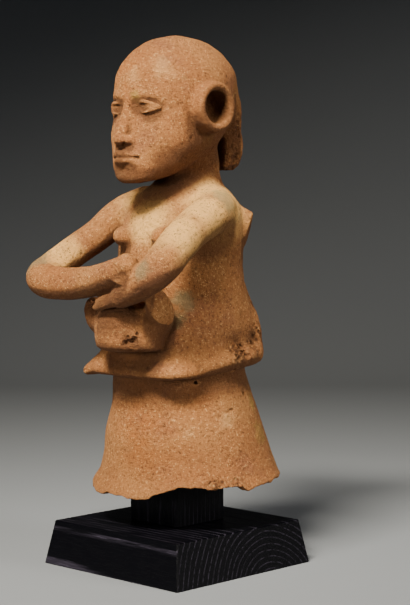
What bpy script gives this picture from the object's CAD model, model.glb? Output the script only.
# %% [markdown]
# # A terracotta half figure on a black wooden stand
#
# The object is a hollow figure of fired clay, built by hand and broken off at the hem. It rests on a
# square wooden post over a square wooden base. The CAD part already gives the solids. This lesson gives
# them the look of the real thing: soft joints between the lumps of clay, a sandy skin with pits and
# breaks, stains from the soil, and open grain in the wood. Everything is in metres in the CAD part's
# own frame, so nothing has to be fitted.

import bpy
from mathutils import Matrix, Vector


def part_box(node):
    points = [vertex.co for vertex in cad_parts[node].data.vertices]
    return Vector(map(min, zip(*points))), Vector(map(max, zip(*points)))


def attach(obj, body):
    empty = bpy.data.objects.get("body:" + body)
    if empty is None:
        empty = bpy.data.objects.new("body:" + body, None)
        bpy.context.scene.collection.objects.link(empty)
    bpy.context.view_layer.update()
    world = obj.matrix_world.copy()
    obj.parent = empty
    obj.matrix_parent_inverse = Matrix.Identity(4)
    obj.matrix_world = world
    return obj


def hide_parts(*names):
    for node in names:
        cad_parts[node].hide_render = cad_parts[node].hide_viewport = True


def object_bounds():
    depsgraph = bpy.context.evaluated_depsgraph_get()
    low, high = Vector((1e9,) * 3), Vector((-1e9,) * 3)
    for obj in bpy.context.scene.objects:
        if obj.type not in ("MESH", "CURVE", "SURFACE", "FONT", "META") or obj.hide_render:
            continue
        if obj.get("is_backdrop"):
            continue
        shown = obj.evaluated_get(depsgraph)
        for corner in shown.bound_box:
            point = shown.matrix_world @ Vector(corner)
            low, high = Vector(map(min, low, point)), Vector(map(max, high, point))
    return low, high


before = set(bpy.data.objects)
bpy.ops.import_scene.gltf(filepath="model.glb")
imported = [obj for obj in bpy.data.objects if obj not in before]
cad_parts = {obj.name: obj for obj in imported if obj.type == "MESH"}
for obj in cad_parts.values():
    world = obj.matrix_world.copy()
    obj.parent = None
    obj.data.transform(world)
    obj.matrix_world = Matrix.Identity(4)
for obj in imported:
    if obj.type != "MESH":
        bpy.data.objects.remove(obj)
bpy.context.view_layer.update()
cad_low, cad_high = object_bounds()
print("CAD box", [round(value, 4) for value in (*cad_low, *cad_high)])

# %% [markdown]
# ## Tools of the lesson
#
# Blender's Python brings numpy for sums on whole lists and OpenVDB for volumes. OpenVDB turns a closed
# mesh into distances on a grid, and distances back into a mesh. That suits clay better than joining
# meshes does, because two lumps can flow into each other where they meet.

# %% Import what the later cells use
import math

import bmesh
import numpy as np
import openvdb
from mathutils import Vector

print("Blender", bpy.app.version_string)

# %% [markdown]
# ## The size of the figure
#
# The free forms below are written in millimetres above the hem line, as in the CAD part. The broken hem
# hangs HEM_DROP below that line and ends HEM_LIFT above the base, so LIFT is the line's height over the
# floor. The grid's pitch decides what detail the clay can hold: at less than a millimetre, an eyelid of
# 3 mm is still round.

# %% Set the scale and the grid
MM = 0.001
BASE_LOW, BASE_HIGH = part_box("stand_base")
HEM_LIFT = 30.0
HEM_DROP = 6.0
LIFT = BASE_HIGH.z / MM + HEM_LIFT + HEM_DROP
VOXEL = 0.9
BAND = 9
REACH = BAND * VOXEL
FIGURE_HEIGHT = 450.0
print("hem line at", LIFT, "mm, grid pitch", VOXEL, "mm")

# %% [markdown]
# ## A block of clay
#
# A block keeps, for each point of its grid, how far away the surface of the clay is: less than nothing
# inside, more than nothing in the air. Joining two lumps is the smaller of two distances, and cutting
# is the larger of one and the other turned round. Where two lumps are equally near, the smooth version
# of the smaller one fills the corner, like a thumb that wipes the joint.


# %% Define the block
def smooth_least(first, second, blend):
    if blend <= 0:
        return np.minimum(first, second)
    share = np.clip(0.5 + 0.5 * (second - first) / blend, 0, 1)
    return second + (first - second) * share - blend * share * (1 - share)


class Clay:
    """Distances to a surface on a grid, in millimetres."""

    def __init__(self, low, high):
        self.first = np.floor((np.array(low) - REACH) / VOXEL).astype(int)
        self.last = np.ceil((np.array(high) + REACH) / VOXEL).astype(int) + 1
        self.away = np.full(self.last - self.first, REACH, np.float32)

    def window(self, low, high):
        """The grid's part round a box: its slices, and its X, Y and Z."""
        first = np.maximum(np.floor((np.array(low) - REACH) / VOXEL).astype(int), self.first)
        last = np.minimum(np.ceil((np.array(high) + REACH) / VOXEL).astype(int) + 1, self.last)
        where = tuple(slice(*pair) for pair in zip(first - self.first, last - self.first))
        x, y, z = (np.arange(*pair) * VOXEL for pair in zip(first, last))
        return where, x[:, None, None], y[None, :, None], z[None, None, :]

    def shared(self, other):
        """The slices of this block and of another where both have points."""
        first = np.maximum(self.first, other.first)
        last = np.minimum(self.last, other.last)
        offsets = [(first - block.first, last - block.first) for block in (self, other)]
        return [tuple(slice(*pair) for pair in zip(*offset)) for offset in offsets]

    def add(self, other, blend=0.0):
        mine, its = self.shared(other)
        self.away[mine] = smooth_least(self.away[mine], other.away[its], blend)

    def cut(self, other, blend=0.0):
        mine, its = self.shared(other)
        self.away[mine] = -smooth_least(-self.away[mine], other.away[its], blend)

    def at(self, points):
        """The distance at any points, from the eight grid points round each."""
        spot = np.clip(points / VOXEL - self.first, 0, np.array(self.away.shape) - 1.001)
        corner = spot.astype(int)
        share = (spot - corner).astype(np.float32)
        total = 0
        for step in np.ndindex(2, 2, 2):
            weight = np.prod(np.where(step, share, 1 - share), axis=1)
            total = total + weight * self.away[tuple((corner + step).T)]
        return total

    def soften(self, rounds):
        """Rounds off edges and corners: each point takes a share of its neighbours."""
        for axis in [0, 1, 2] * rounds:
            line = np.moveaxis(self.away, axis, 0)
            line[1:-1] = 0.25 * line[:-2] + 0.5 * line[1:-1] + 0.25 * line[2:]


print("a smooth joint of 1 and 1 over 2 is", smooth_least(np.float32(1), np.float32(1), 2))

# %% [markdown]
# ## Three ways to make a lump
#
# Most forms of the figure are stacks of level rings, like coils of clay laid on each other. Each
# station gives a height, a half width, a half depth, the middle in Y and a squareness, where 2 is an
# ellipse. Arms, fingers and lids are rolled: a round rod along a smooth line, with its own thickness at
# each knot. The rest are balls, pressed long or flat.


# %% Define the smooth line through a few given values
def through(places, values, wanted):
    """A cubic curve through values at given places."""
    places = np.asarray(places, float)
    values = np.asarray(values, float)
    slopes = np.gradient(values, places, axis=0)
    index = np.clip(np.searchsorted(places, wanted, side="right") - 1, 0, len(places) - 2)
    gap = (places[index + 1] - places[index])[:, None]
    share = ((np.asarray(wanted) - places[index]) / gap[:, 0])[:, None]
    start, end = values[index], values[index + 1]
    bend_in = gap * slopes[index] - (end - start)
    bend_out = (end - start) - gap * slopes[index + 1]
    return start + (end - start) * share + share * (1 - share) * (bend_in * (1 - share) + bend_out * share)


print("half way through 0, 1, 4:", through([0, 1, 2], [[0], [1], [4]], [0.5])[0])


# %% Define the stack of rings
def rings(stations, heights, sides, crowding=0.0):
    """Points of level rings, and the angle of each point round the Z axis."""
    stations = np.array(stations, float)
    sizes = through(stations[:, 0], stations[:, 1:], heights)
    half_width, half_depth, centre_y, power = (sizes[:, column, None] for column in range(4))
    turn = np.linspace(0, 2 * np.pi, sides, endpoint=False)
    angle = turn - crowding * np.cos(turn)
    across = np.abs(np.cos(angle) / half_width) ** power
    along = np.abs(np.sin(angle) / half_depth) ** power
    reach = (across + along) ** (-1 / power)
    level = np.broadcast_to(np.asarray(heights, float)[:, None], reach.shape)
    points = np.stack([reach * np.cos(angle), centre_y + reach * np.sin(angle), level], axis=-1)
    return points, angle


def stacked(points):
    """A block of clay from rings of points, closed at both ends."""
    count, sides, _ = points.shape
    corner = np.arange(count * sides).reshape(count, sides)
    beside = np.roll(corner, -1, axis=1)
    walls = np.stack([corner[:-1], beside[:-1], beside[1:], corner[1:]], axis=-1).reshape(-1, 4)
    ends = [(corner[0], beside[0], count * sides), (corner[-1], beside[-1], count * sides + 1)]
    caps = [np.stack([edge, after, np.full(sides, middle)], axis=-1) for edge, after, middle in ends]
    corners = np.concatenate([points.reshape(-1, 3), points[[0, -1]].mean(axis=1)])
    grid = openvdb.FloatGrid.createLevelSetFromPolygons(
        corners.astype(np.float32),
        triangles=np.concatenate(caps).astype(np.uint32),
        quads=walls.astype(np.uint32),
        transform=openvdb.createLinearTransform(voxelSize=VOXEL),
        halfWidth=float(BAND),
    )
    block = Clay(corners.min(axis=0), corners.max(axis=0))
    grid.copyToArray(block.away, ijk=tuple(int(value) for value in block.first))
    return block


# %% Define the rolled rod and the pressed ball
def rolled(knots, spacing=2.0):
    """A round rod through knots of x, y, z and radius."""
    knots = np.array(knots, float)
    steps = np.linalg.norm(np.diff(knots[:, :3], axis=0), axis=1)
    places = np.concatenate([[0], np.cumsum(steps)])
    count = max(3, int(places[-1] / spacing) + 1)
    line = through(places, knots, np.linspace(0, places[-1], count))
    radii = line[:, 3:]
    block = Clay((line[:, :3] - radii).min(axis=0), (line[:, :3] + radii).max(axis=0))
    for start, end in zip(line[:-1], line[1:]):
        thickest = max(start[3], end[3])
        low = np.minimum(start, end)[:3] - thickest
        high = np.maximum(start, end)[:3] + thickest
        where, x, y, z = block.window(low, high)
        run = end[:3] - start[:3]
        ahead = (x - start[0]) * run[0] + (y - start[1]) * run[1] + (z - start[2]) * run[2]
        share = np.clip(ahead / (run @ run), 0, 1)
        gaps = [axis - start[i] - share * run[i] for i, axis in enumerate((x, y, z))]
        radius = start[3] + share * (end[3] - start[3])
        away = np.sqrt(gaps[0] ** 2 + gaps[1] ** 2 + gaps[2] ** 2) - radius
        block.away[where] = np.minimum(block.away[where], away)
    return block


def ball(centre, radii):
    """A ball pressed to three radii, along X, Y and Z."""
    centre, radii = np.array(centre, float), np.array(radii, float) * np.ones(3)
    block = Clay(centre - radii, centre + radii)
    where, x, y, z = block.window(centre - radii, centre + radii)
    parts = [(axis - centre[i]) / radii[i] for i, axis in enumerate((x, y, z))]
    size = np.sqrt(parts[0] ** 2 + parts[1] ** 2 + parts[2] ** 2)
    slope = np.sqrt(sum((part / radii[i]) ** 2 for i, part in enumerate(parts)))
    block.away[where] = np.clip(size * (size - 1) / np.maximum(slope, 1e-6), -REACH, REACH)
    return block


def stump(start, end, start_radius, end_radius, sides):
    """A blunt, many-sided stump with flat ends, from one point to another."""
    start, end = Vector(start), Vector(end)
    turn = (end - start).to_track_quat("Z", "Y")
    angles = 2 * np.pi * np.arange(sides) / sides
    sections = []
    for centre, radius in ((start, start_radius), (end, end_radius)):
        rim = [Vector((radius * math.cos(angle), radius * math.sin(angle), 0)) for angle in angles]
        sections.append([centre + turn @ point for point in rim])
    return stacked(np.array(sections))


print("a rod and a ball:", rolled([(0, 0, 0, 3), (9, 0, 0, 3)]).away.shape, ball((0, 0, 0), 5).away.min())

# %% [markdown]
# ## Grain without a picture
#
# Clay is never even. This noise throws random numbers on a coarse lattice and blends them smoothly, so
# it wanders up and down by about one over the given distance. The random numbers come from a seed, so
# each run gives the same figure.


# %% Define the noise
def wander(points, size, seed):
    """Smooth noise from -1 to 1 at points, with waves about as long as size."""
    spot = points / size
    low = np.floor(spot.min(axis=0)).astype(int)
    corner = np.floor(spot).astype(int) - low
    share = spot - np.floor(spot)
    share = share * share * (3 - 2 * share)
    lattice = np.random.default_rng(seed).uniform(-1, 1, corner.max(axis=0) + 2)
    total = 0
    for step in np.ndindex(2, 2, 2):
        weight = np.prod(np.where(step, share, 1 - share), axis=1)
        total = total + weight * lattice[tuple((corner + step).T)]
    return total


print("noise at three points:", wander(np.array([[0.0, 0, 0], [5, 5, 5], [9, 1, 4]]), 4, 1).round(2))

# %% [markdown]
# ## The skirt
#
# The skirt is a bell that flares to a broken hem. The lowest rings are lifted and dropped round the
# figure, so the hem runs unevenly, low at the front right and high at the back left, with a few bites
# out of it. Short waves make the line of the break nervous.

# %% Build the skirt
SKIRT = [
    (0, 99, 94.5, 13, 2),
    (7, 95, 91, 13.4, 2),
    (14, 91.3, 88.3, 15.2, 2),
    (26, 88, 85.5, 15.6, 2),
    (54, 82.2, 79.2, 11.3, 2),
    (84, 74.5, 70.5, 8.9, 2),
    (110, 69.5, 65.5, 4, 2),
    (126, 66, 61, 4, 2),
]
HEM_TILT = 5.5
HEM_LOW_SIDE = math.radians(250)
HEM_FADE = 34.0
HEM_LOWEST = -HEM_DROP + 0.1
HEM_BREAKS = [
    (-116, 14, -6.3),
    (-80, 15, -6),
    (-46, 12, 7.4),
    (-20, 10, 3),
    (-4, 9, -2),
    (54, 9, -6),
    (78, 14, 5),
    (128, 18, -4),
    (172, 12, 5),
]
HEM_WAVES = [(17, 0.7, 0.4), (29, 0.6, 2.0), (47, 0.4, 4.1), (71, 0.3, 1.3)]


def hem_rise(angle):
    rise = HEM_TILT * (1 - np.cos(angle - HEM_LOW_SIDE))
    for at, half_width, height in HEM_BREAKS:
        turn = np.degrees(angle) - at
        nearest = turn - 360 * np.round(turn / 360)
        rise = rise + height * np.exp(-((nearest / half_width) ** 2))
    for count, height, phase in HEM_WAVES:
        rise = rise + height * np.sin(count * angle + phase + np.sin(3 * angle))
    return rise


skirt_rings, skirt_angle = rings(SKIRT, np.linspace(0, 126, 64), 180)
skirt_rings[..., 2] += hem_rise(skirt_angle) * np.clip(1 - skirt_rings[..., 2] / HEM_FADE, 0, 1)
skirt_rings[..., 2] = np.maximum(skirt_rings[..., 2], HEM_LOWEST)
figure = Clay((-107, -125, -8), (101, 109, FIGURE_HEIGHT))
figure.add(stacked(skirt_rings))
print("skirt", figure.away.shape, "lowest", skirt_rings[..., 2].min().round(2))

# %% [markdown]
# ## The torso and the flange
#
# Above the skirt the clay flares to a flange with four soft corners, then rises straight and slopes
# through the shoulders into the neck. The flange is tilted, higher at the back. At its left it swells
# into a broken roll, at the front right it droops to a point, and a strip of the back left corner still
# stands where something has come away.

# %% Build the torso and what is left of the flange
TORSO = [
    (117, 60, 58, 3, 3.5),
    (119, 67, 65, 0, 4.5),
    (124, 71, 70.5, -1, 5),
    (130, 71, 70, 0, 4.5),
    (137, 67.5, 67, 2, 4),
    (150, 66, 66, 5, 3.4),
    (161, 67, 65, 8, 3.2),
    (175, 68, 63, 8, 2.7),
    (187, 68, 61, 7, 2.4),
    (200, 69, 58.5, 4, 2.2),
    (225, 69, 57, 4, 2),
    (245, 70, 55, 5, 2),
    (262, 71, 52, 6, 2),
    (276, 69, 48, 7, 2),
    (286, 62, 44, 9, 2),
    (294, 51, 40, 12, 2),
    (302, 39, 35, 15, 2),
    (312, 31.5, 31, 18, 2),
    (325, 30, 30, 18, 2),
    (345, 30, 30, 14, 2),
]
FLANGE_TILT = 0.09
FLANGE_FOOT = 124.0
FLANGE_FADE = 165.0
POINT = [(-46, -50, 126, 9), (-56, -59, 120, 7), (-62, -64.5, 116.5, 5.2)]
ROLL = [
    (67, -26, 126, 4),
    (69, -8, 129, 7.5),
    (69, 13, 132, 9.5),
    (67, 31, 134, 10),
    (61, 47, 135, 9),
    (51, 58, 134, 7),
]
STRIP = [(48, 42, 200, 4), (51, 47, 182, 6.5), (54, 51, 167, 8), (57, 53, 150, 8.5), (58, 54.5, 138, 7)]

torso_rings, _ = rings(TORSO, np.concatenate([np.linspace(117, 137, 21), np.linspace(139, 345, 104)]), 180)
fade = np.clip(1 - np.clip(torso_rings[..., 2] - FLANGE_FOOT, 0, None) / (FLANGE_FADE - FLANGE_FOOT), 0, 1)
torso_rings[..., 2] += FLANGE_TILT * torso_rings[..., 1] * fade
figure.add(stacked(torso_rings), 3)
for knots in (POINT, ROLL, STRIP):
    figure.add(rolled(knots), 5)
print("torso rings", torso_rings.shape[:2])

# %% [markdown]
# ## The belly
#
# The belly stands out under the arms like a small apron, with a sharp lower lip over a deep shadow. A
# web of clay runs from each side of it up to the elbow, where the maker braced the free arms.

# %% Build the belly and its two webs
BELLY = [
    (141, 28, 22, -73, 2),
    (143.5, 33.5, 28.5, -74, 2),
    (149, 35.5, 31, -75, 2),
    (161, 36, 32, -75, 2),
    (169, 35.5, 31.5, -75, 2),
    (177, 32.5, 29, -75, 2),
    (183, 27, 25, -76, 2),
    (189, 20, 19, -77, 2),
    (195, 13, 12, -78, 2),
]
BELLY_ASIDE = 10
WEBS = [
    [(-16, -68, 162, 20), (-42, -83, 181, 14), (-62, -90, 189, 12), (-78, -93, 193, 11)],
    [(20, -56, 166, 17), (42, -66, 177, 14.5), (57, -80, 190, 14.5), (68, -90, 206, 15)],
]

belly_rings, _ = rings(BELLY, np.linspace(141, 195, 40), 96)
belly = stacked(belly_rings + (BELLY_ASIDE, 0, 0))
for knots in WEBS:
    belly.add(rolled(knots), 8)
figure.add(belly, 3)
print("belly rings", belly_rings.shape[:2])

# %% [markdown]
# ## The arms
#
# Both arms are rolled rods that leave the sloping shoulders, bend sharply at the elbows and meet in
# front. They grow out of the torso without a seam, so the joint at the shoulder is wiped over several
# millimetres.

# %% Build the arms, the breasts and the broken shoulder
RIGHT_ARM = [
    (-46, 2, 282, 19),
    (-57, -21, 272, 18),
    (-66, -46, 252, 16.5),
    (-79, -73, 232, 16.2),
    (-88, -87, 219, 16.6),
    (-89.5, -99, 211, 17),
    (-78, -105, 207, 17),
    (-57, -103, 205, 16.5),
    (-32, -101.5, 206.5, 15.8),
    (-1, -105, 211, 14.5),
    (33, -112, 222, 11),
]
LEFT_ARM = [
    (44, 8, 280, 21),
    (60, -8, 276, 20.5),
    (69, -36, 266, 19.5),
    (75, -64, 253, 18.5),
    (79, -84, 240, 18.3),
    (79, -96, 229, 18),
    (71, -101, 219, 17),
    (58, -103, 211, 16),
    (45, -105, 202.5, 14),
    (32, -107, 195, 11),
]
BREAST = (27, -46, 251)

for knots in (RIGHT_ARM, LEFT_ARM):
    figure.add(rolled(knots), 5)
for side in (-1, 1):
    figure.add(ball((side * BREAST[0], *BREAST[1:]), (12, 13, 11)), 5)
figure.add(stump((34, 24, 266), (58.5, 44, 258), 26, 17.5, 7), 3)
print("arms done, figure spans", figure.away.shape)

# %% [markdown]
# ## The head
#
# The head is a bald, egg-shaped skull over a narrower jaw, on a thick neck. The points of its rings
# crowd towards the front, where the face needs them. Soft hollows and swellings push the rings in and
# out: the sockets, the brows, the cheekbones, the mouth and the chin. The face is a plain, calm one on
# the canon of a drawing class, with the eyes half way up the head.

# %% Build the skull
HEAD = [
    (303, 9, 8, -62, 2),
    (306, 19, 17, -55, 2),
    (314, 30, 31, -42, 2.1),
    (328, 39, 45, -28, 2.1),
    (340, 45, 54, -18, 2.1),
    (358, 49, 61, -9, 2.1),
    (376, 51.5, 65, -4, 2.1),
    (395, 53, 67, -1, 2.1),
    (412, 51, 65, 0, 2.1),
    (426, 44.5, 57, 0, 2),
    (438, 33, 43, 0, 2),
    (446, 19, 25, 0, 2),
    (450, 4, 5, 0, 2),
]
EYE_LINE = 376
EYE_X = 20
NOSE_LENGTH = 31
MOUTH_LINE = 328
FACE_RELIEF = [
    (EYE_X, EYE_LINE, 13, 8, -5.0),
    (19, EYE_LINE + 12, 14, 4, 2.2),
    (31, 352, 12, 11, 2.5),
    (0, MOUTH_LINE, 19, 11, 3.5),
    (0, MOUTH_LINE - 12, 12, 3.5, -1.8),
    (0, 309, 10, 5, 2),
]

head_levels = np.concatenate([np.linspace(303, 440, 120), np.linspace(441, 450, 16)])
head_rings, _ = rings(HEAD, head_levels, 200, 0.6)
front = np.clip((-head_rings[..., 1] - 10) / 30, 0, 1)
front = front * front * (3 - 2 * front)
for across, height, half_width, half_height, push in FACE_RELIEF:
    spread = ((np.abs(head_rings[..., 0]) - across) / half_width) ** 2
    spread = spread + ((head_rings[..., 2] - height) / half_height) ** 2
    head_rings[..., 1] -= push * np.exp(-spread) * front
figure.add(stacked(head_rings), 5)
print("head rings", head_rings.shape[:2])

# %% [markdown]
# ## The ears, the hair and the hollows
#
# Each ear is a thick ring of clay round a deep hole, pressed on the side of the head. Behind the left
# ear there is a low swelling, and under it a short broken lock. Inside, the figure is open from below:
# a ledge narrows the hollow where it rests on the post. The holes are cut once all the lumps are
# joined, then two rounds of softening wear the edges down, as handling and soil do.

# %% Build the ear rings and the hair
EAR_CENTRE = (54, -6, 377)
EAR_RING_RADIUS = 25.5
EAR_HOLE_RADIUS = 15.5
EAR_HALF_DEPTH = 11.0
EAR_HOLE_DEPTH = 26.0
EAR_SQUARENESS = 2.6


def ear_ring(side):
    """A ring of clay with a rounded square section, standing on the side of the head."""
    middle = (EAR_RING_RADIUS + EAR_HOLE_RADIUS) / 2
    rim = (EAR_RING_RADIUS - EAR_HOLE_RADIUS) / 2
    centre = np.array([side * EAR_CENTRE[0], *EAR_CENTRE[1:]])
    half = np.array([EAR_HALF_DEPTH, EAR_RING_RADIUS, EAR_RING_RADIUS])
    block = Clay(centre - half, centre + half)
    where, x, y, z = block.window(centre - half, centre + half)
    out = (np.hypot(y - centre[1], z - centre[2]) - middle) / rim
    deep = (x - centre[0]) / EAR_HALF_DEPTH
    size = (np.abs(out) ** EAR_SQUARENESS + np.abs(deep) ** EAR_SQUARENESS) ** (1 / EAR_SQUARENESS)
    block.away[where] = np.clip((size - 1) * rim, -REACH, REACH)
    return block


for side in (-1, 1):
    figure.add(ear_ring(side), 2.5)
SWELLING = [(16, 53, 396, 13), (17, 55, 378, 15.3), (17, 55.5, 360, 14.8)]
LOCK = [
    (316, 6, 8, 54.5, 3),
    (319, 9, 10, 55, 4),
    (328, 11.5, 12, 57.5, 5),
    (338, 12, 13.5, 59, 5),
    (350, 12, 13, 59, 4),
    (362, 12, 12, 56, 3),
]
LOCK_X = 15
figure.add(rolled(SWELLING), 5)
lock_rings, _ = rings(LOCK, np.linspace(316, 362, 30), 60)
figure.add(stacked(lock_rings + (LOCK_X, 0, 0)), 1.5)
print("rings of the ears:", 2 * EAR_RING_RADIUS, "mm across")

# %% Cut the hollows
WALL = 11.0
LEDGE_HEIGHT = 116.0
LEDGE_THICKNESS = 12.0
LEDGE_HOLE_RADIUS = 26.0
TORSO_HOLLOW_HEIGHT = 150.0


def inner_rings(stations, heights):
    """The rings of a form, smaller by the wall and round instead of square."""
    points, _ = rings([(z, w - WALL, d - WALL, y, 2) for z, w, d, y, _ in stations], heights, 120)
    return points


skirt_hollow = inner_rings(SKIRT, np.linspace(0, LEDGE_HEIGHT, 40))
opening = skirt_hollow[:1] - (0, 0, 12)
hollow_floor = LEDGE_HEIGHT + LEDGE_THICKNESS
torso_hollow = inner_rings(TORSO, np.linspace(hollow_floor, hollow_floor + TORSO_HOLLOW_HEIGHT, 60))
closing = np.clip((np.linspace(0, 1, 60) - 0.8) / 0.2, 0, 1)
torso_hollow[..., :2] *= np.sqrt(1 - 0.85 * closing**2)[:, None, None]
ledge_levels = np.linspace(LEDGE_HEIGHT - 2, hollow_floor + 2, 6)
ledge_stations = [(z, LEDGE_HOLE_RADIUS, LEDGE_HOLE_RADIUS, 0, 2) for z in ledge_levels]
ledge_hole, _ = rings(ledge_stations, ledge_levels, 96)
for hollow in (np.concatenate([opening, skirt_hollow]), torso_hollow, ledge_hole):
    figure.cut(stacked(hollow), 2)
ear_face = EAR_CENTRE[0] + EAR_HALF_DEPTH
ear_floor = ear_face - EAR_HOLE_DEPTH
ear_depths = np.array([ear_floor, ear_floor + 4, ear_face - 6, ear_face + 8])
ear_sizes = EAR_HOLE_RADIUS * np.array([0.5, 0.74, 0.98, 1.08])
ear_stations = [(x, radius, radius, 0, 2) for x, radius in zip(ear_depths, ear_sizes)]
ear_hole, _ = rings(ear_stations, np.linspace(ear_depths[0], ear_depths[-1], 20), 72)
ear_hole = ear_hole[..., [2, 1, 0]] + (0, EAR_CENTRE[1], EAR_CENTRE[2])
for side in (-1, 1):
    figure.cut(stacked(ear_hole * (side, 1, 1)), 1.0)
figure.soften(2)
print("cut three hollows and two ear holes")

# %% [markdown]
# ## The hands
#
# The right hand lies over the left forearm, and the left hand is tucked under the right one. Each hand
# is a palm and four short fingers side by side. The blend between the fingers is small, so that a
# crease stays between them.

# %% Build the hands
FINGERS = 4
RIGHT_PALM = [(18, -107, 214, 13), (32, -111, 219, 12.5), (46, -112, 226, 11.5)]
LEFT_PALM = [(36, -106, 197, 11), (22.6, -108, 192, 7.2), (8, -108, 187, 4.8), (-4, -107, 184, 3)]
BETWEEN_ARMS = [(0, -97, 199, 9), (20, -99, 203, 9.5), (38, -100, 206, 9)]
HANDS = [
    (RIGHT_PALM, (36.5, -117.5, 229), (33.5, -118.5, 214), (21, 3, -7), (0, -1.5, 0), 3.3),
    (LEFT_PALM, (20, -112.5, 196), (21, -111.5, 189), (-22, 3.5, -6), (0, -1, 0), 2.4),
]

figure.add(rolled(BETWEEN_ARMS), 3)

for palm, first_root, last_root, finger, bow, radius in HANDS:
    hand = rolled(palm)
    for share in np.linspace(0, 1, FINGERS):
        root = np.array(first_root) + share * (np.array(last_root) - first_root)
        tip = root + np.array(finger) * (1 - 0.3 * abs(share - 0.4))
        middle = (root + tip) / 2 + bow
        hand.add(rolled([(*root, radius), (*middle, radius), (*tip, 0.8 * radius)], 1.5), 0.8)
    figure.add(hand, 1.2)
print("fingers:", FINGERS * len(HANDS))

# %% [markdown]
# ## The face
#
# Nose, lips and lids are small rolls and balls, as a modeller would press them on. The eyes are calm
# and almond shaped: a ball in the socket, with a roll for the upper lid and a thinner one for the
# lower. A fine groove parts the lips.

# %% Build the nose, the mouth and the eyes
NOSE_FOOT = EYE_LINE - NOSE_LENGTH
BRIDGE = [
    (0, -63.5, EYE_LINE + 9, 5),
    (0, -69, EYE_LINE - 6, 5.2),
    (0, -74.5, NOSE_FOOT + 9, 6),
    (0, -77.5, NOSE_FOOT + 1, 6.6),
]
LID_ARC = [(-11, -61, 0), (-5, -64.4, 1), (2, -64.4, 1), (8, -60.7, 0.6), (12.5, -55.5, 0)]
LIP = [(-17, -65.5, 0, 1.6), (-9, -72.4, 0.9, 3.2), (-3, -75.2, 1.1, 3.6), (0, -75.4, 0.3, 3.6)]


def both_sides(half):
    """The knots of the right half, then the same ones mirrored to the left."""
    return half + [(-x, *rest) for x, *rest in reversed(half[:-1])]


nose = rolled(BRIDGE)
for side in (-1, 1):
    nose.add(ball((side * 7.5, -71.5, NOSE_FOOT), (5.2, 6.5, 5)), 2)
figure.add(nose, 3)
for side in (-1, 1):
    figure.cut(ball((side * 4.4, -76, NOSE_FOOT - 5.4), (2.3, 3, 3)), 1)

for height, fullness in ((MOUTH_LINE + 2.9, 1.0), (MOUTH_LINE - 3.1, 1.15)):
    lip = [(x, y, height + rise, radius * fullness) for x, y, rise, radius in LIP]
    figure.add(rolled(both_sides(lip), 1.5), 1.5)
groove = [(x, y - 2.8, MOUTH_LINE - 0.1, 1.0) for x, y, rise, _ in LIP]
figure.cut(rolled(both_sides(groove), 1.5), 0.8)

for side in (-1, 1):
    figure.add(ball((side * EYE_X, -55.6, EYE_LINE), (12, 8.9, 7.0)), 1.2)
    for opening, radius in ((5.4, 1.9), (-4.6, 1.4)):
        lid = [(side * (EYE_X + x), y, EYE_LINE + rise * opening, radius) for x, y, rise in LID_ARC]
        figure.add(rolled(lid, 1.5), 1.6)
figure.soften(1)
print("face done")

# %% [markdown]
# ## From the grid to a mesh
#
# OpenVDB draws the surface where the distance is nothing. The result has well over half a million small
# quads, which is what the next cells need for pits and grain. The faces are thinned out only at the
# very end, when the surface is done.


# %% Define how a block becomes a mesh
def surface_of(block, inset=0.0):
    """Corners and quads of the block's surface, in millimetres."""
    grid = openvdb.FloatGrid(REACH)
    grid.copyFromArray(block.away, ijk=tuple(int(value) for value in block.first), tolerance=0.0)
    grid.transform = openvdb.createLinearTransform(voxelSize=VOXEL)
    return grid.convertToQuads(isovalue=-inset)


def mesh_of(name, corners, quads):
    mesh = bpy.data.meshes.new(name)
    mesh.vertices.add(len(corners))
    mesh.vertices.foreach_set("co", corners.astype(np.float32).ravel())
    mesh.loops.add(quads.size)
    mesh.loops.foreach_set("vertex_index", quads.astype(np.int32).ravel())
    mesh.polygons.add(len(quads))
    mesh.polygons.foreach_set("loop_start", np.arange(0, quads.size, 4, dtype=np.int32))
    mesh.update(calc_edges=True)
    return mesh


corners, _ = surface_of(figure)
print("surface with", len(corners), "corners")

# %% [markdown]
# ## Pits, grit and broken places
#
# The clay was tempered with sand. Where a grain fell out, a pit is left, and where one stayed, it
# stands a little proud. Both are small balls, cut or added at random places. A few larger marks have
# their own places. Where the figure broke, the surface is ragged: the hem, the roll of the flange, the
# shoulder, the strip at the back and the end of the lock.

# %% Scatter pits and grit
GRAINS = 2600
PIT_SHARE = 0.6
GRAIN_RADIUS = 0.8
GRAIN_SPREAD = 1.4
GRAIN_SEED = 7
chance = np.random.default_rng(GRAIN_SEED)


def slope_at(block, points):
    """The direction in which the distance grows: straight out of the surface."""
    steps = np.eye(3) * VOXEL
    slope = np.stack([block.at(points + step) - block.at(points - step) for step in steps], axis=1)
    return slope / np.maximum(np.linalg.norm(slope, axis=1, keepdims=True), 1e-9)


spots = corners[chance.choice(len(corners), GRAINS, replace=False)]
kinds = chance.random(GRAINS)
sizes = chance.random(GRAINS)
for spot, out, kind, size in zip(spots, slope_at(figure, spots), kinds, sizes):
    radius = GRAIN_RADIUS + GRAIN_SPREAD * size**4
    if kind < PIT_SHARE:
        figure.cut(ball(spot + out * 0.45 * radius, radius), 0.5)
    else:
        figure.add(ball(spot - out * 0.55 * radius, 0.8 * radius), 0.5)
MARKS = [
    ((55.6, -30.7, 109.6), (2.4, 2.4, 2.2)),
    ((74.2, -5, 80.3), (1.6, 4.5, 1.0)),
    ((74.0, 1, 82.3), (1.4, 3, 1.0)),
    ((36.5, -97, 153), (5, 4.5, 1.8)),
    ((30, -101, 151), (1.8, 3.5, 2.6)),
    ((70, 24, 96), (2.5, 2.5, 2)),
]
for centre, radii in MARKS:
    figure.cut(ball(centre, radii), 0.6)
print("grains and pits:", GRAINS, "larger marks:", len(MARKS))

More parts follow.
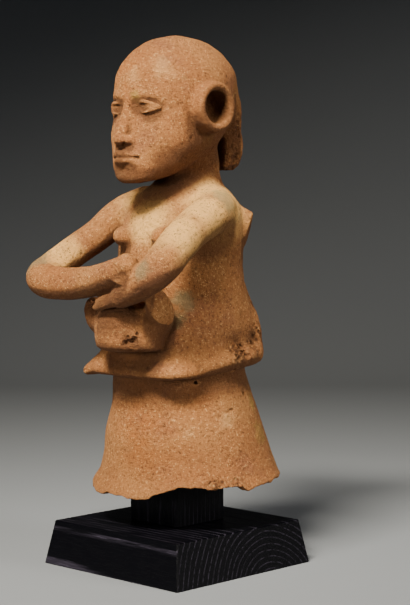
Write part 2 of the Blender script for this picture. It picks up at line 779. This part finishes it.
# %% Press small craters into the broken places
BREAKS = [
    (74, 13, 138, 15, 3.0),
    (68, 36, 140, 12, 1.8),
    (60, 46, 257, 15, 0.9),
    (62, 52, 152, 12, 1.2),
    (54, 49, 186, 12, 0.9),
    (14, 61, 318, 10, 1.3),
    (-62, -67, 115, 5, 0.4),
    (35, -98, 153, 9, 1.5),
    (30, 58, 330, 13, 1.4),
    (31, 56, 362, 12, 1.0),
]
CRATERS_PER_MM2 = 1.2
CRATER_RADIUS = 0.9
CRATER_SPREAD = 1.8
crater_count = 0
for x, y, z, radius, relief in BREAKS:
    thrown = int(CRATERS_PER_MM2 * radius * relief)
    near = np.array((x, y, z)) + chance.normal(0, 0.45 * radius, (thrown, 3))
    near = near[np.abs(figure.at(near)) < 6]
    near = near - slope_at(figure, near) * figure.at(near)[:, None]
    for spot, size in zip(near, chance.random((len(near), 3))):
        figure.cut(ball(spot, CRATER_RADIUS + CRATER_SPREAD * size**2), 0.4)
    crater_count += len(near)
print("broken places:", len(BREAKS), "craters:", crater_count)

# %% Define how broken the clay is
FLAKE_ANGLE = -23.0
FLAKE_HALF = 15.0
FLAKE_TOP = 18.5
FLAKE_DEPTH = 4.2


def near_breaks(points):
    """How broken the surface is at each point, from 0 to 1, and how deep the break's relief is."""
    share = np.zeros(len(points))
    depth = np.zeros(len(points))
    for x, y, z, radius, relief in BREAKS:
        close = np.clip(1.3 - np.linalg.norm(points - (x, y, z), axis=1) / radius, 0, 1)
        share = np.maximum(share, close)
        depth = np.maximum(depth, relief * close)
    return share, depth


def hem_share(points, out):
    """1 on the broken underside of the hem and 0 elsewhere."""
    return np.clip((-out[:, 2] - 0.25) * 3, 0, 1) * np.clip((32 - points[:, 2]) / 6, 0, 1)


def flaked(points):
    """1 where a slab has flaked off the lower edge of the hem, and 0 elsewhere."""
    angle = np.degrees(np.arctan2(points[:, 1] - SKIRT[0][3], points[:, 0]))
    wide = np.clip((FLAKE_HALF - np.abs(angle - FLAKE_ANGLE)) / 3, 0, 1)
    edge = FLAKE_TOP + 3.5 * wander(points, 8, 31) - 0.25 * np.abs(angle - FLAKE_ANGLE)
    return wide * np.clip((edge - points[:, 2]) / 1.2, 0, 1)


print("the flake is", 2 * FLAKE_HALF, "degrees wide")

# %% Roughen the surface
RELIEF = [(42, 0.5, 11), (15, 0.3, 12), (6, 0.16, 13), (2.4, 0.2, 14)]
INSET = 0.25
corners, quads = surface_of(figure, INSET)
out = slope_at(figure, corners)
share, depth = near_breaks(corners)
depth = np.maximum(depth, 1.1 * hem_share(corners, out))
depth = depth + FLAKE_DEPTH * flaked(corners) * (0.6 + 0.4 * wander(corners, 3.2, 32))
ragged = wander(corners, 4.2, 21) + 0.7 * wander(corners, 1.9, 22)
relief = sum(height * wander(corners, size, seed) for size, height, seed in RELIEF)
skin = corners + out * np.minimum(relief - depth * (0.5 + 0.5 * ragged), INSET)[:, None]
figure_low, figure_high = (np.array(corner) / MM - (0, 0, LIFT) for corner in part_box("figure"))
skin = np.clip(skin, figure_low + 0.1, figure_high - 0.1)
print("relief from", relief.min().round(2), "to", relief.max().round(2), "mm")

# %% [markdown]
# ## The finished figure
#
# So many faces are more than the surface needs. The Decimate modifier joins faces where the surface is
# even and keeps them where it bends, so the face, the hands and the pits stay sharp. The result
# replaces the plain CAD figure.

# %% Thin the mesh out and place it
FIGURE_FACES = 180_000


def placed(name, mesh, node):
    """The mesh as a piece that stands for a CAD node."""
    piece = bpy.data.objects.new(name, mesh)
    bpy.context.scene.collection.objects.link(piece)
    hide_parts(node)
    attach(piece, "root")
    return piece


def finished(piece):
    """Applies the piece's modifiers."""
    bpy.context.view_layer.update()
    evaluated = piece.evaluated_get(bpy.context.evaluated_depsgraph_get())
    applied = bpy.data.meshes.new_from_object(evaluated)
    piece.modifiers.clear()
    piece.data = applied
    return piece


skin_mesh = mesh_of("clay_figure", (skin + (0, 0, LIFT)) * MM, quads)
clay_figure = placed("clay_figure", skin_mesh, "figure")
thin = clay_figure.modifiers.new("thin", "DECIMATE")
thin.ratio = FIGURE_FACES / (2 * len(quads))
finished(clay_figure)
clay_figure.data.shade_smooth()
print("figure", len(clay_figure.data.polygons), "faces")

# %% [markdown]
# ## What the clay has lived through
#
# Colour on old clay follows the shape: grime sits in the folds, and edges that are rubbed are paler.
# Both can be read from the grid. A little way out of a fold the air is narrow, and a little way into an
# edge the clay is thin. Where clay hangs close overhead, under the arms, the belly and the flange, the
# surface is sheltered and stays dirty. Stains from the soil are written as spots with a place and a
# size. Each of these goes on the mesh as a number per corner that the material can ask for by name.

# %% Measure folds and edges, and spread the stains
PROBE = 5.0
SHELTER_REACH = 42.0
STAINS = {
    "green": [
        (72, -8, 292, 22),
        (62, 14, 268, 10),
        (-94, -104, 224, 20),
        (70, -116, 222, 12),
        (50, -44, 190, 15),
        (44, -48, 172, 13),
    ],
    "olive": [(73, 42, 58, 18), (70, 38, 84, 12), (12, -66, 388, 8), (40, 4, 350, 14)],
    "pale": [(33, -48, 416, 16), (6, -62, 404, 12), (75, -5, 70, 10), (62, -46, 62, 9), (77, 8, 131, 9)],
    "blush": [
        (-14, -58, 410, 24),
        (40, -66, 250, 26),
        (20, -82, 60, 34),
        (60, -50, 100, 22),
        (-60, -92, 222, 20),
    ],
    "buff": [
        (56, 2, 284, 40),
        (72, -40, 268, 36),
        (80, -76, 250, 32),
        (5, -42, 268, 30),
        (-46, -12, 276, 26),
        (-80, -80, 230, 26),
    ],
}


def on_corners(mesh, name, values):
    layer = mesh.attributes.new(name, "FLOAT", "POINT")
    layer.data.foreach_set("value", np.clip(values, 0, 1).astype(np.float32))


mesh = clay_figure.data
points = np.empty(3 * len(mesh.vertices))
mesh.vertices.foreach_get("co", points)
points = points.reshape(-1, 3) / MM - (0, 0, LIFT)
out = slope_at(figure, points)
on_corners(mesh, "fold", 1 - figure.at(points + out * PROBE) / PROBE)
on_corners(mesh, "edge", 1 + figure.at(points - out * PROBE) / PROBE)
shelter = [
    np.clip(1 - figure.at(points + out * 3 + (0, 0, rise)) / 3, 0, 1) * (1 - rise / SHELTER_REACH)
    for rise in range(6, int(SHELTER_REACH), 6)
]
on_corners(mesh, "sheltered", np.max(shelter, axis=0))
ragged_places = [near_breaks(points)[0], 0.7 * hem_share(points, out), flaked(points)]
on_corners(mesh, "broken", np.max(ragged_places, axis=0))
for name, stains in STAINS.items():
    near = [np.exp(-(np.linalg.norm(points - stain[:3], axis=1) / stain[3]) ** 2) for stain in stains]
    on_corners(mesh, name, np.max(near, axis=0))
print("numbers on", len(points), "corners")

# %% [markdown]
# ## Sums inside a material
#
# A material is a net of nodes, and sums in it are Math nodes. This small class lets Python's own signs
# add them, so that 1 - mask or 0.3 * grain reads as a sum and still becomes nodes. Everything else
# comes from one method, which takes the node's kind, its settings, and what goes into its sockets.


# %% Define the shader sums and the finish
class Wire:
    """One output inside a material."""

    def __init__(self, finish, socket):
        self.finish = finish
        self.socket = socket

    def maths(self, operation, first, second):
        sockets = {"Value": first, "Value_001": second}
        return self.finish.node("ShaderNodeMath", {"operation": operation}, sockets)

    def __add__(self, other):
        return self.maths("ADD", self, other)

    def __sub__(self, other):
        return self.maths("SUBTRACT", self, other)

    def __rsub__(self, other):
        return self.maths("SUBTRACT", other, self)

    def __mul__(self, other):
        return self.maths("MULTIPLY", self, other)

    __radd__ = __add__
    __rmul__ = __mul__


class Finish:
    """A material under construction."""

    def __init__(self, name):
        self.material = bpy.data.materials.new(name)
        self.material.use_nodes = True
        self.tree = self.material.node_tree
        self.shader = self.tree.nodes["Principled BSDF"]
        self.place = self.node("ShaderNodeTexCoord", {}, {}, "Object")

    def node(self, kind, settings, sockets, output=0):
        made = self.tree.nodes.new(kind)
        for name, value in settings.items():
            setattr(made, name, value)
        for name, value in sockets.items():
            self.feed(made, name, value)
        if isinstance(output, int):
            return Wire(self, made.outputs[output])
        return Wire(self, next(socket for socket in made.outputs if socket.identifier == output))

    def feed(self, node, name, value):
        socket = next(socket for socket in node.inputs if socket.identifier == name)
        if isinstance(value, Wire):
            self.tree.links.new(value.socket, socket)
        else:
            socket.default_value = value

    def noise(self, scale, detail=3.0, roughness=0.55, place=None):
        sockets = {"Vector": place or self.place, "Scale": scale, "Detail": detail, "Roughness": roughness}
        return self.node("ShaderNodeTexNoise", {}, sockets)

    def step(self, value, low, high):
        """0 below low, 1 above high, and a soft rise between them."""
        sockets = {"Value": value, "From Min": low, "From Max": high}
        return self.node("ShaderNodeMapRange", {"interpolation_type": "SMOOTHSTEP"}, sockets)

    def blend(self, first, second, share, kind="MIX"):
        settings = {"data_type": "RGBA", "blend_type": kind}
        sockets = {"Factor_Float": share, "A_Color": first, "B_Color": second}
        return self.node("ShaderNodeMix", settings, sockets, "Result_Color")

    def on_mesh(self, name):
        return self.node("ShaderNodeAttribute", {"attribute_name": name}, {}, "Fac")

    def bump(self, height, distance, strength=1.0):
        sockets = {"Height": height, "Distance": distance, "Strength": strength}
        return self.node("ShaderNodeBump", {}, sockets)

    def paint(self, piece, **sockets):
        for name, value in sockets.items():
            self.feed(self.shader, name.replace("_", " "), value)
        piece.data.materials.clear()
        piece.data.materials.append(self.material)


print("finish ready")

# %% [markdown]
# ## Terracotta
#
# Fired clay is brown at first sight and, looked at closely, many colours at once: orange where it fired
# hot, pinkish and tan in clouds, cream grit and dark specks. It has no gloss. The clouds are slow
# noise, the grit is the cells of a Voronoi pattern, and the stains come from the numbers on the mesh,
# with noise to break up their edges.

# %% Mix the terracotta
BROWN = (0.36, 0.14, 0.045, 1)
ORANGE = (0.46, 0.155, 0.035, 1)
TAN = (0.44, 0.19, 0.062, 1)
PINK = (0.30, 0.115, 0.05, 1)
DARK = (0.10, 0.036, 0.012, 1)
CREAM = (0.85, 0.50, 0.20, 1)
BUFF = (0.92, 0.52, 0.16, 1)
GREEN_GREY = (0.24, 0.23, 0.12, 1)
OLIVE = (0.36, 0.25, 0.05, 1)

clay = Finish("terracotta")
clouds = clay.noise(16, 4)
mottle = clay.noise(60, 5, 0.6)
sand = clay.noise(330, 4, 0.85)
colour = clay.blend(BROWN, TAN, clay.step(clouds, 0.38, 0.66))
colour = clay.blend(colour, PINK, 0.75 * clay.step(clay.noise(23, 3), 0.5, 0.7))
colour = clay.blend(colour, ORANGE, 0.8 * clay.on_mesh("blush") * clay.step(mottle, 0.3, 0.6))
colour = clay.blend(colour, BUFF, 0.85 * clay.step(clay.on_mesh("buff") + 0.8 * (mottle - 0.5), 0.25, 0.85))
colour = clay.blend(colour, DARK, 0.45 * clay.step(mottle, 0.58, 0.78))
colour = clay.blend(colour, CREAM, 0.6 * clay.step(sand, 0.55, 0.66))
colour = clay.blend(colour, DARK, 0.85 * clay.step(sand, 0.46, 0.35))
grit = clay.node("ShaderNodeTexVoronoi", {}, {"Vector": clay.place, "Scale": 420.0}, "Distance")
rare = clay.step(clay.noise(210, 2), 0.54, 0.6)
colour = clay.blend(colour, CREAM, rare * clay.step(grit, 0.24, 0.12))
edge_noise = 2.6 * (clay.noise(45, 6, 0.7) - 0.5)
for name, tint, strength in (("green", GREEN_GREY, 0.5), ("olive", OLIVE, 0.45), ("pale", CREAM, 0.25)):
    mask = clay.step(clay.on_mesh(name) + edge_noise, 0.35, 1.0)
    colour = clay.blend(colour, tint, strength * mask)
broken = clay.on_mesh("broken")
colour = clay.blend(colour, DARK, 0.9 * broken * clay.step(clay.noise(240, 3), 0.49, 0.6))
colour = clay.blend(colour, CREAM, 0.55 * broken * clay.step(clay.noise(300, 3), 0.58, 0.68))
colour = clay.blend(colour, DARK, 0.55 * clay.step(clay.on_mesh("fold"), 0.15, 0.8))
colour = clay.blend(colour, DARK, 0.75 * clay.step(clay.on_mesh("sheltered"), 0.1, 0.6))
colour = clay.blend(colour, TAN, 0.35 * clay.step(clay.on_mesh("edge"), 0.3, 0.9))
relief = 0.9 * sand + 0.5 * clay.noise(230, 4, 0.65) + 0.4 * clay.step(grit, 0.3, 0.1) * rare
clay.paint(
    clay_figure,
    Base_Color=colour,
    Roughness=0.86 + 0.12 * mottle,
    Specular_IOR_Level=0.25,
    Normal=clay.bump(relief, 0.007),
)
print("terracotta has", len(clay.tree.nodes), "nodes")

# %% [markdown]
# ## The stand
#
# The base is one block of wood with four leaning sides, and the post is a square of the same wood. A
# cabinet maker cuts them sharp and takes only the arris off with a plane. So each is a mesh of eight
# corners, and a Bevel modifier rounds the edges by about a millimetre.

# %% Build the base and the post
ARRIS = 1.3
ARRIS_STEPS = 4
BASE_TOP_HALF = 0.0875 - 0.0003
POST_LOW, POST_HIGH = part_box("stand_post")


def block_mesh(name, half_below, half_above, low, high):
    """A square block whose sides may lean, from its half widths and its heights."""
    shape = bmesh.new()
    corners = [(1, 1), (-1, 1), (-1, -1), (1, -1)]
    below = [shape.verts.new((x * half_below, y * half_below, low)) for x, y in corners]
    above = [shape.verts.new((x * half_above, y * half_above, high)) for x, y in corners]
    shape.faces.new(reversed(below))
    shape.faces.new(above)
    for start in range(4):
        after = (start + 1) % 4
        shape.faces.new((below[start], below[after], above[after], above[start]))
    bmesh.ops.bevel(
        shape,
        geom=shape.edges[:],
        offset=ARRIS * MM,
        segments=ARRIS_STEPS,
        profile=0.5,
        affect="EDGES",
    )
    mesh = bpy.data.meshes.new(name)
    shape.to_mesh(mesh)
    shape.free()
    return mesh


base_mesh = block_mesh("wooden_base", BASE_HIGH.x, BASE_TOP_HALF, BASE_LOW.z, BASE_HIGH.z)
post_mesh = block_mesh("wooden_post", POST_HIGH.x, POST_HIGH.x, BASE_HIGH.z, POST_HIGH.z)
wooden_base = placed("wooden_base", base_mesh, "stand_base")
wooden_post = placed("wooden_post", post_mesh, "stand_post")
print("base", len(base_mesh.polygons), "faces, post", len(post_mesh.polygons), "faces")

# %% [markdown]
# ## Blackened wood
#
# The wood is stained black, but its grain still shows. The soft early wood of each year sank a little
# and took more stain, and the hard late wood stands up and shines. Growth rings are shells round the
# pith, so the distance from a line along X gives arcs on the end grain and long streaks on the sides
# and the top, all from one pattern. The post is cut along Z.


# %% Mix the wood and paint the stand
BLACK = (0.001, 0.001, 0.002, 1)
WORN_BLACK = (0.035, 0.030, 0.046, 1)
RING_WIDTH = 0.0062


def wood(name, pith, along, strength):
    """Black wood whose grain runs along X (0) or Z (2), with its pith through a point."""
    finish = Finish(name)
    stretch = [1.0, 1.0, 1.0]
    stretch[along] = 0.06
    flat = [1.0, 1.0, 1.0]
    flat[along] = 0.0
    warped = finish.node(
        "ShaderNodeVectorMath",
        {"operation": "MULTIPLY"},
        {"Vector": finish.place, "Vector_001": tuple(stretch)},
        "Vector",
    )
    section = finish.node(
        "ShaderNodeVectorMath",
        {"operation": "MULTIPLY"},
        {"Vector": finish.place, "Vector_001": tuple(flat)},
        "Vector",
    )
    reach = finish.node(
        "ShaderNodeVectorMath", {"operation": "DISTANCE"}, {"Vector": section, "Vector_001": pith}, "Value"
    )
    wave = 0.012 * finish.noise(11, 1, place=warped) + 0.0010 * finish.noise(120, 3, place=warped)
    age = (reach + wave) * (1 / RING_WIDTH)
    year = finish.node("ShaderNodeMath", {"operation": "FRACT"}, {"Value": age})
    late = finish.step(year, 0.72, 0.92) - finish.step(year, 0.95, 1.0)
    fibre = finish.noise(900, 3, 0.6, place=warped)
    pores = finish.step(fibre, 0.52, 0.64)
    grain = strength * late * finish.step(finish.noise(300, 2, place=warped), 0.35, 0.6)
    colour = finish.blend(BLACK, WORN_BLACK, grain * (0.45 + pores))
    height = 0.8 * grain - 0.35 * pores
    return finish, colour, 0.34 + 0.16 * fibre + 0.12 * late, finish.bump(height, 0.0002)


for piece, pith, along, strength in (
    (wooden_base, (0.0, 0.038, -0.028), 0, 1.0),
    (wooden_post, (0.05, 0.08, 0.0), 2, 0.35),
):
    finish, colour, roughness, normal = wood(f"black_wood_{piece.name}", pith, along, strength)
    finish.paint(piece, Base_Color=colour, Roughness=roughness, Specular_IOR_Level=0.09, Normal=normal)
print("two wooden pieces painted")

# %% [markdown]
# ## Floor, light and camera
#
# The floor is plain and pale, and bends up behind into a wall, so that no horizon cuts the picture. The
# key lamp hangs at the upper left and in front, as in a photographer's studio. A weak lamp at the right
# fills the shadows, and a still weaker one stands low in front, so that light reaches the belly under
# the arms. The camera stands 1.7 m away on the figure's left front, and looks down a little.

# %% Lay the floor
FLOOR_HALF = 3.0
FLOOR_SIDE = 4.0
SWEEP_START = 1.6
SWEEP_RADIUS = 0.8
SWEEP_STEPS = 16
VIEW_AZIMUTH = math.radians(45)

away = Vector((-math.sin(VIEW_AZIMUTH), math.cos(VIEW_AZIMUTH), 0))
beside = Vector((math.cos(VIEW_AZIMUTH), math.sin(VIEW_AZIMUTH), 0))
turns = [math.pi / 2 * step / SWEEP_STEPS for step in range(SWEEP_STEPS + 1)]
profile = [(-FLOOR_HALF, 0.0)]
profile += [
    (SWEEP_START + SWEEP_RADIUS * math.sin(turn), SWEEP_RADIUS * (1 - math.cos(turn))) for turn in turns
]
profile += [(SWEEP_START + SWEEP_RADIUS, FLOOR_HALF)]
floor_mesh = bpy.data.meshes.new("floor")
floor_points = [
    away * run + beside * side + Vector((0, 0, rise))
    for run, rise in profile
    for side in (-FLOOR_SIDE, FLOOR_SIDE)
]
floor_faces = [(2 * row, 2 * row + 1, 2 * row + 3, 2 * row + 2) for row in range(len(profile) - 1)]
floor_mesh.from_pydata(floor_points, [], floor_faces)
floor_mesh.shade_smooth()
floor = bpy.data.objects.new("floor", floor_mesh)
bpy.context.scene.collection.objects.link(floor)
floor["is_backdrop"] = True
paper = Finish("pale_paper")
paper.paint(floor, Base_Color=(0.19, 0.205, 0.23, 1), Roughness=0.9)
print("floor with", len(floor_faces), "strips")


# %% Hang the lamps
def lamp(name, azimuth, elevation, distance, size, power, colour, spread):
    """A soft lamp that looks at the middle of the figure, with its width and height in size."""
    azimuth, elevation = math.radians(azimuth), math.radians(elevation)
    level = math.cos(elevation)
    out = Vector((math.sin(azimuth) * level, -math.cos(azimuth) * level, math.sin(elevation)))
    data = bpy.data.lights.new(name, "AREA")
    data.shape = "RECTANGLE"
    data.size, data.size_y = size
    data.energy = power
    data.color = colour
    data.spread = math.radians(spread)
    lit = bpy.data.objects.new(name, data)
    lit.location = Vector((0, 0, 0.3)) + out * distance
    lit.rotation_euler = out.to_track_quat("Z", "Y").to_euler()
    bpy.context.scene.collection.objects.link(lit)


lamp("key_lamp", 20, 48, 1.9, (0.6, 0.25), 22, (1.0, 0.92, 0.76), 75)
lamp("fill_lamp", 105, 15, 2.4, (0.8, 0.8), 5.5, (1.0, 0.95, 0.86), 60)
lamp("front_lamp", 6, 6, 2.0, (0.3, 0.3), 1.3, (1.0, 0.95, 0.86), 40)
world = bpy.data.worlds.new("studio")
bpy.context.scene.world = world
world.use_nodes = True
world.node_tree.nodes["Background"].inputs["Color"].default_value = (0.8, 0.88, 1.0, 1)
world.node_tree.nodes["Background"].inputs["Strength"].default_value = 0.02
print("lamps hung")

# %% Place the camera
CAMERA_DISTANCE = 1.7
CAMERA_HEIGHT = 0.371
CAMERA_PITCH = math.radians(3.6)
CAMERA_YAW = math.radians(0.95)
FRAME_HEIGHT = 605
FOCAL_PIXELS = 1696

camera = bpy.data.objects.new("camera", bpy.data.cameras.new("camera"))
camera.location = -away * CAMERA_DISTANCE + Vector((0, 0, CAMERA_HEIGHT))
camera.rotation_euler = (math.pi / 2 - CAMERA_PITCH, 0, VIEW_AZIMUTH - CAMERA_YAW)
camera.data.lens = camera.data.sensor_width * FOCAL_PIXELS / FRAME_HEIGHT
bpy.context.scene.collection.objects.link(camera)
bpy.context.scene.camera = camera
print("lens", round(camera.data.lens, 1), "mm")

# %% [markdown]
# ## Check the size and finish
#
# The dressed figure must not outgrow the CAD part. Both boxes are kept in a small file, and the last
# call checks the pieces against the frame.

# %% Measure and finish
low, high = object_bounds()
sizes = {"cad": [list(cad_low), list(cad_high)], "visual": [list(low), list(high)]}
print("visual box", [round(value, 4) for value in (*low, *high)])
